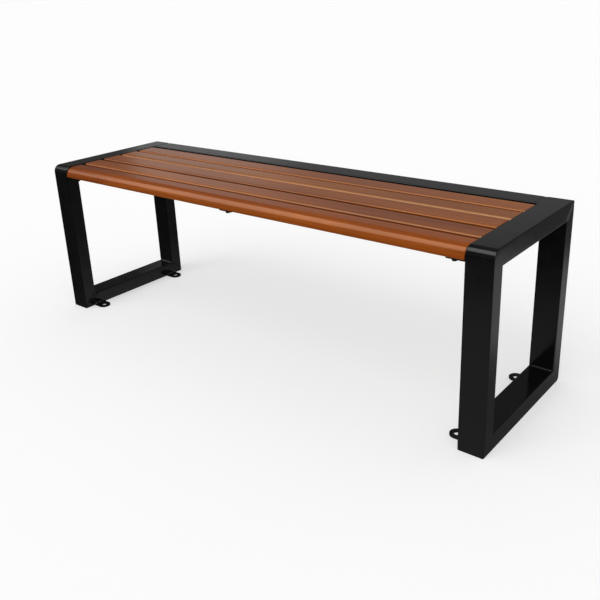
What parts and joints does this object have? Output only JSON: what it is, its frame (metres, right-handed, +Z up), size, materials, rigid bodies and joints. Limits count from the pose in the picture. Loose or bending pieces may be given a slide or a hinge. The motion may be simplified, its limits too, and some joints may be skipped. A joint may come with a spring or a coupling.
{
  "type": "backless bench",
  "caption": "Backless bench with lengthwise hardwood slats between closed end frames of rectangular steel tube, with floor anchor lugs.",
  "frame": {"origin": "middle of the footprint at floor level", "axes": "+X along the seat to the right end as seen from the front, +Y to the back, +Z up"},
  "size_m": [1.4, 0.4, 0.45],
  "materials": {
    "frame_paint": "gloss black paint on steel",
    "slat_wood": "reddish hardwood under a satin varnish",
    "screw_black": "black zinc plating"
  },
  "bodies": {
    "root": {"left_top_rail": "frame_paint", "left_front_leg": "frame_paint", "left_bottom_rail": "frame_paint", "left_rear_leg": "frame_paint", "right_top_rail": "frame_paint", "right_front_leg": "frame_paint", "right_bottom_rail": "frame_paint", "right_rear_leg": "frame_paint", "rear_rail": "frame_paint", "left_slat_ledge": "frame_paint", "right_slat_ledge": "frame_paint", "centre_strap": "frame_paint", "slat_1": "slat_wood", "slat_2": "slat_wood", "slat_3": "slat_wood", "slat_4": "slat_wood", "slat_5": "slat_wood", "slat_screws": "screw_black", "slat_washers": "screw_black", "left_front_lug": "frame_paint", "left_rear_lug": "frame_paint", "right_front_lug": "frame_paint", "right_rear_lug": "frame_paint"}
  },
  "joints": []
}
